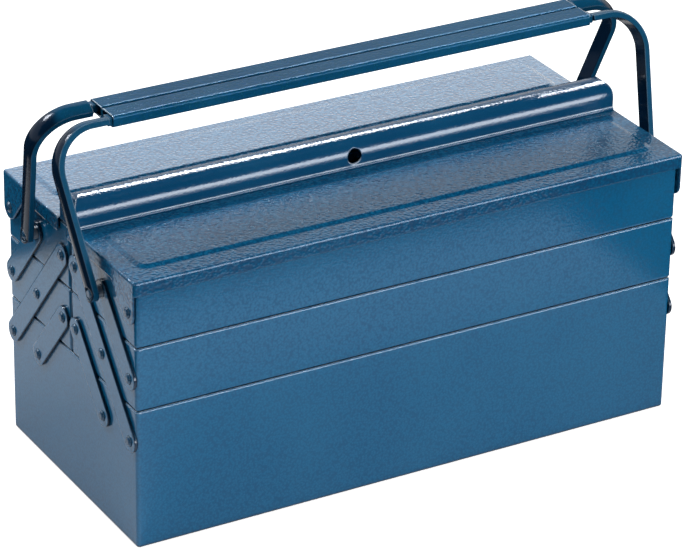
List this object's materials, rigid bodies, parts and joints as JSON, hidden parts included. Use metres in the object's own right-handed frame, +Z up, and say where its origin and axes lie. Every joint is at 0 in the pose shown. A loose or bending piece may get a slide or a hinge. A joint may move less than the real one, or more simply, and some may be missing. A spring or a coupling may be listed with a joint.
{
  "type": "cantilever tool box",
  "caption": "Cantilever tool box of painted steel: a deep base, trays that swing out on link arms, hinged lids with a half-round ridge and padlock hole, and folding bail handles.",
  "frame": {"origin": "on the standing surface, under the centre of the closed box", "axes": "+Z up, +X to the right along the box's length, +Y to the rear; the lid with the ridge is at the front (-Y)"},
  "size_m": [0.4662, 0.2, 0.2812],
  "materials": {
    "tray_paint": "glossy blue hammertone enamel on steel sheet",
    "lid_paint": "glossy blue hammertone enamel on steel sheet",
    "ridge_paint": "glossy blue hammertone enamel on steel sheet",
    "tongue_paint": "glossy blue hammertone enamel on steel sheet",
    "arm_paint": "glossy blue enamel on flat steel strip",
    "leg_paint": "glossy blue hammertone enamel on half-round steel bar",
    "grip_paint": "glossy blue enamel on oval steel tube",
    "rivet_paint": "blue enamel over steel, darker round the head",
    "bush_zinc": "dull zinc-plated steel"
  },
  "bodies": {
    "base": {"base_tray": "tray_paint", "base_rivets": "rivet_paint"},
    "front_long_arms": {"front_left_long_arm": "arm_paint", "front_right_long_arm": "arm_paint"},
    "front_lower_arms": {"front_left_lower_arm": "arm_paint", "front_right_lower_arm": "arm_paint"},
    "front_middle_tray": {"front_middle_tray": "tray_paint", "front_middle_rivets": "rivet_paint"},
    "front_top_tray": {"front_top_tray": "tray_paint", "front_top_rivets": "rivet_paint", "front_handle_rivets": "rivet_paint", "front_handle_bushes": "bush_zinc", "front_lid_rivets": "rivet_paint"},
    "front_upper_arms": {"front_left_upper_arm": "arm_paint", "front_right_upper_arm": "arm_paint"},
    "front_lid": {"front_lid": "lid_paint", "centre_ridge": "ridge_paint"},
    "front_handle": {"front_left_handle_leg": "leg_paint", "front_right_handle_leg": "leg_paint", "front_grip": "grip_paint"},
    "rear_long_arms": {"rear_left_long_arm": "arm_paint", "rear_right_long_arm": "arm_paint"},
    "rear_lower_arms": {"rear_left_lower_arm": "arm_paint", "rear_right_lower_arm": "arm_paint"},
    "rear_middle_tray": {"rear_middle_tray": "tray_paint", "rear_middle_rivets": "rivet_paint"},
    "rear_top_tray": {"rear_top_tray": "tray_paint", "rear_top_rivets": "rivet_paint", "rear_handle_rivets": "rivet_paint", "rear_handle_bushes": "bush_zinc", "rear_lid_rivets": "rivet_paint"},
    "rear_upper_arms": {"rear_left_upper_arm": "arm_paint", "rear_right_upper_arm": "arm_paint"},
    "rear_lid": {"rear_lid": "lid_paint", "lock_tongue": "tongue_paint"},
    "rear_handle": {"rear_left_handle_leg": "leg_paint", "rear_right_handle_leg": "leg_paint", "rear_grip": "grip_paint"}
  },
  "joints": [
    {"name": "front_spread", "type": "hinge", "parent": "base", "child": "front_long_arms", "pos_m": [0, -0.09, 0.08], "axis": [1, 0, 0], "range_deg": [0, 80]},
    {"name": "front_lower_arm_swing", "type": "hinge", "parent": "base", "child": "front_lower_arms", "pos_m": [0, -0.05, 0.08], "axis": [1, 0, 0], "range_deg": [0, 80]},
    {"name": "front_middle_tray_pivot", "type": "hinge", "parent": "front_long_arms", "child": "front_middle_tray", "pos_m": [0, -0.05, 0.127], "axis": [-1, 0, 0], "range_deg": [0, 80]},
    {"name": "front_top_tray_pivot", "type": "hinge", "parent": "front_long_arms", "child": "front_top_tray", "pos_m": [0, -0.01, 0.174], "axis": [-1, 0, 0], "range_deg": [0, 80]},
    {"name": "front_upper_arm_swing", "type": "hinge", "parent": "front_middle_tray", "child": "front_upper_arms", "pos_m": [0, -0.09, 0.127], "axis": [1, 0, 0], "range_deg": [0, 80]},
    {"name": "front_lid_hinge", "type": "hinge", "parent": "front_top_tray", "child": "front_lid", "pos_m": [0, -0.09, 0.176], "axis": [1, 0, 0], "range_deg": [0, 105]},
    {"name": "front_handle_hinge", "type": "hinge", "parent": "front_top_tray", "child": "front_handle", "pos_m": [0, -0.05, 0.174], "axis": [1, 0, 0], "range_deg": [0, 165]},
    {"name": "rear_spread", "type": "hinge", "parent": "base", "child": "rear_long_arms", "pos_m": [0, 0.09, 0.08], "axis": [-1, 0, 0], "range_deg": [0, 80]},
    {"name": "rear_lower_arm_swing", "type": "hinge", "parent": "base", "child": "rear_lower_arms", "pos_m": [0, 0.05, 0.08], "axis": [-1, 0, 0], "range_deg": [0, 80]},
    {"name": "rear_middle_tray_pivot", "type": "hinge", "parent": "rear_long_arms", "child": "rear_middle_tray", "pos_m": [0, 0.05, 0.127], "axis": [1, 0, 0], "range_deg": [0, 80]},
    {"name": "rear_top_tray_pivot", "type": "hinge", "parent": "rear_long_arms", "child": "rear_top_tray", "pos_m": [0, 0.01, 0.174], "axis": [1, 0, 0], "range_deg": [0, 80]},
    {"name": "rear_upper_arm_swing", "type": "hinge", "parent": "rear_middle_tray", "child": "rear_upper_arms", "pos_m": [0, 0.09, 0.127], "axis": [-1, 0, 0], "range_deg": [0, 80]},
    {"name": "rear_lid_hinge", "type": "hinge", "parent": "rear_top_tray", "child": "rear_lid", "pos_m": [0, 0.09, 0.176], "axis": [-1, 0, 0], "range_deg": [0, 105]},
    {"name": "rear_handle_hinge", "type": "hinge", "parent": "rear_top_tray", "child": "rear_handle", "pos_m": [0, 0.05, 0.174], "axis": [-1, 0, 0], "range_deg": [0, 165]}
  ],
  "couplings": [
    {"joint": "front_lower_arm_swing", "follows": "front_spread", "ratio": 1},
    {"joint": "front_middle_tray_pivot", "follows": "front_spread", "ratio": 1},
    {"joint": "front_top_tray_pivot", "follows": "front_spread", "ratio": 1},
    {"joint": "front_upper_arm_swing", "follows": "front_spread", "ratio": 1},
    {"joint": "rear_spread", "follows": "front_spread", "ratio": 1},
    {"joint": "rear_lower_arm_swing", "follows": "front_spread", "ratio": 1},
    {"joint": "rear_middle_tray_pivot", "follows": "front_spread", "ratio": 1},
    {"joint": "rear_top_tray_pivot", "follows": "front_spread", "ratio": 1},
    {"joint": "rear_upper_arm_swing", "follows": "front_spread", "ratio": 1}
  ]
}
